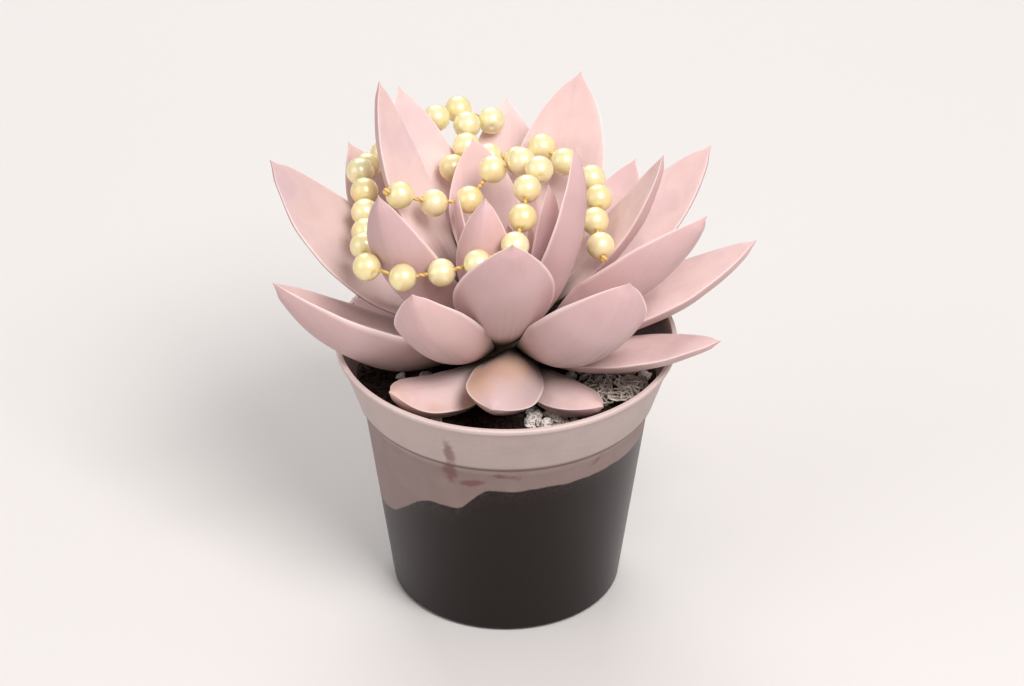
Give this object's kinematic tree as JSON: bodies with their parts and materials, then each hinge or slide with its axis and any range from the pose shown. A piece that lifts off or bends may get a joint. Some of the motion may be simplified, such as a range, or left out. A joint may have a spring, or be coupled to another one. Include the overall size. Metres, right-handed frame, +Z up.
{
  "type": "potted echeveria",
  "caption": "Rosette of thick pointed succulent leaves on a short stem in a tapered nursery pot of soil, with a string of round beads wound through the leaves.",
  "frame": {"origin": "centre of the underside of the pot, on the surface that it stands on", "axes": "+Z up along the pot's axis, -Y towards the front of the plant, +X to the right seen from the front"},
  "size_m": [0.1238, 0.1006, 0.1384],
  "materials": {
    "sprayed_plastic": "pink spray paint on thin nursery plastic",
    "potting_soil": "dark crumbly potting soil with white perlite grains",
    "stem_tissue": "dull woody plant stem",
    "sprayed_leaf": "fleshy leaf under a satin coat of pink spray paint",
    "cream_pearl": "glossy pearlescent cream beads on a thin thread"
  },
  "bodies": {
    "root": {"pot": "sprayed_plastic", "soil": "potting_soil", "stem": "stem_tissue", "leaf_01": "sprayed_leaf", "leaf_02": "sprayed_leaf", "leaf_03": "sprayed_leaf", "leaf_04": "sprayed_leaf", "leaf_05": "sprayed_leaf", "leaf_06": "sprayed_leaf", "leaf_07": "sprayed_leaf", "leaf_08": "sprayed_leaf", "leaf_09": "sprayed_leaf", "leaf_10": "sprayed_leaf", "leaf_11": "sprayed_leaf", "leaf_12": "sprayed_leaf", "leaf_13": "sprayed_leaf", "leaf_14": "sprayed_leaf", "leaf_15": "sprayed_leaf", "leaf_16": "sprayed_leaf", "leaf_17": "sprayed_leaf", "leaf_18": "sprayed_leaf", "leaf_19": "sprayed_leaf", "leaf_20": "sprayed_leaf", "leaf_21": "sprayed_leaf", "leaf_22": "sprayed_leaf", "leaf_23": "sprayed_leaf", "leaf_24": "sprayed_leaf", "leaf_25": "sprayed_leaf", "leaf_26": "sprayed_leaf", "leaf_27": "sprayed_leaf", "leaf_28": "sprayed_leaf", "heart": "sprayed_leaf", "pearl_string": "cream_pearl"}
  },
  "joints": []
}
